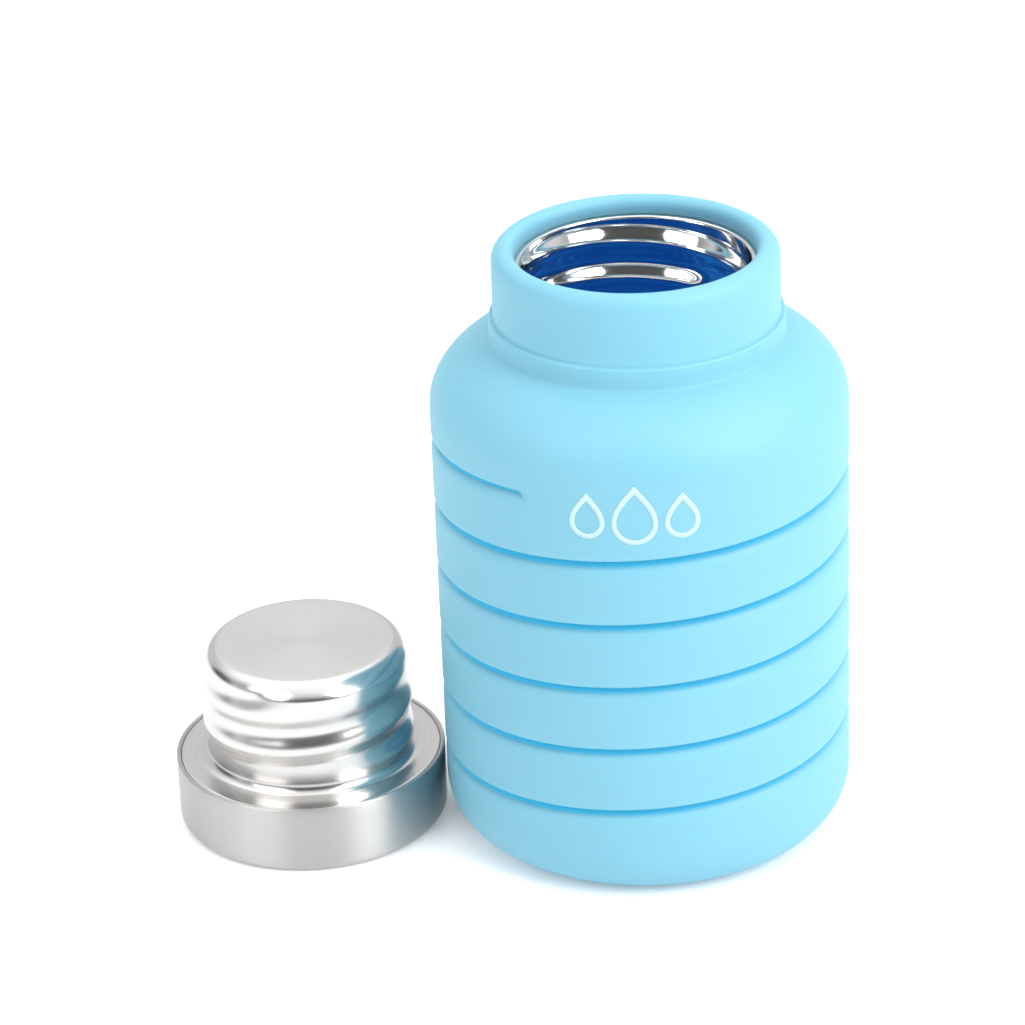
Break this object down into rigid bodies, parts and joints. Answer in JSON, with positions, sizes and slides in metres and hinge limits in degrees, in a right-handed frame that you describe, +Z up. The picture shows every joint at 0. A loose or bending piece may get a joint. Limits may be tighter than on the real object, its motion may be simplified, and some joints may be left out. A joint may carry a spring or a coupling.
{
  "type": "folding water bottle",
  "caption": "Collapsible silicone bottle with a spiral bellows, a threaded steel neck collar and a screw-in steel cap that rests upside down beside it.",
  "frame": {"origin": "on the floor, on the axis of the bottle's round base", "axes": "+Z up along the bottle's axis; -Y is the front, seen with the loose cap on the left at -X"},
  "size_m": [0.124, 0.074, 0.1115],
  "materials": {
    "silicone": "satin moulded silicone",
    "brushed_steel": "fine brushed",
    "polished_steel": "polished"
  },
  "bodies": {
    "base": {"base_cup": "silicone"},
    "fold_1": {"fold_1": "silicone"},
    "fold_2": {"fold_2": "silicone"},
    "fold_3": {"fold_3": "silicone"},
    "fold_4": {"fold_4": "silicone"},
    "fold_5": {"fold_5": "silicone"},
    "fold_6": {"fold_6": "silicone"},
    "fold_7": {"fold_7": "silicone"},
    "fold_8": {"fold_8": "silicone"},
    "fold_9": {"fold_9": "silicone"},
    "shoulder": {"shoulder": "silicone", "neck_collar": "polished_steel"},
    "cap": {"cap_cup": "brushed_steel", "cap_plug": "polished_steel"}
  },
  "joints": [
    {"name": "fold", "type": "slide", "parent": "base", "child": "shoulder", "axis": [0, 0, 1], "range_m": [0, 0.0945]},
    {"name": "fold_1_rise", "type": "slide", "parent": "base", "child": "fold_1", "axis": [0, 0, 1], "range_m": [0, 0.00526]},
    {"name": "fold_2_rise", "type": "slide", "parent": "base", "child": "fold_2", "axis": [0, 0, 1], "range_m": [0, 0.01576]},
    {"name": "fold_3_rise", "type": "slide", "parent": "base", "child": "fold_3", "axis": [0, 0, 1], "range_m": [0, 0.02626]},
    {"name": "fold_4_rise", "type": "slide", "parent": "base", "child": "fold_4", "axis": [0, 0, 1], "range_m": [0, 0.03676]},
    {"name": "fold_5_rise", "type": "slide", "parent": "base", "child": "fold_5", "axis": [0, 0, 1], "range_m": [0, 0.04726]},
    {"name": "fold_6_rise", "type": "slide", "parent": "base", "child": "fold_6", "axis": [0, 0, 1], "range_m": [0, 0.05776]},
    {"name": "fold_7_rise", "type": "slide", "parent": "base", "child": "fold_7", "axis": [0, 0, 1], "range_m": [0, 0.06826]},
    {"name": "fold_8_rise", "type": "slide", "parent": "base", "child": "fold_8", "axis": [0, 0, 1], "range_m": [0, 0.07876]},
    {"name": "fold_9_rise", "type": "slide", "parent": "base", "child": "fold_9", "axis": [0, 0, 1], "range_m": [0, 0.08926]},
    {"name": "cap_place", "type": "hinge", "parent": "base", "child": "cap", "pos_m": [-0.0311, 0, 0.10948], "axis": [0, 1, 0], "range_deg": [0, 180]}
  ],
  "couplings": [
    {"joint": "fold_1_rise", "follows": "fold", "ratio": 0.055556},
    {"joint": "fold_2_rise", "follows": "fold", "ratio": 0.16667},
    {"joint": "fold_3_rise", "follows": "fold", "ratio": 0.27778},
    {"joint": "fold_4_rise", "follows": "fold", "ratio": 0.38889},
    {"joint": "fold_5_rise", "follows": "fold", "ratio": 0.5},
    {"joint": "fold_6_rise", "follows": "fold", "ratio": 0.61111},
    {"joint": "fold_7_rise", "follows": "fold", "ratio": 0.72222},
    {"joint": "fold_8_rise", "follows": "fold", "ratio": 0.83333},
    {"joint": "fold_9_rise", "follows": "fold", "ratio": 0.94444}
  ]
}
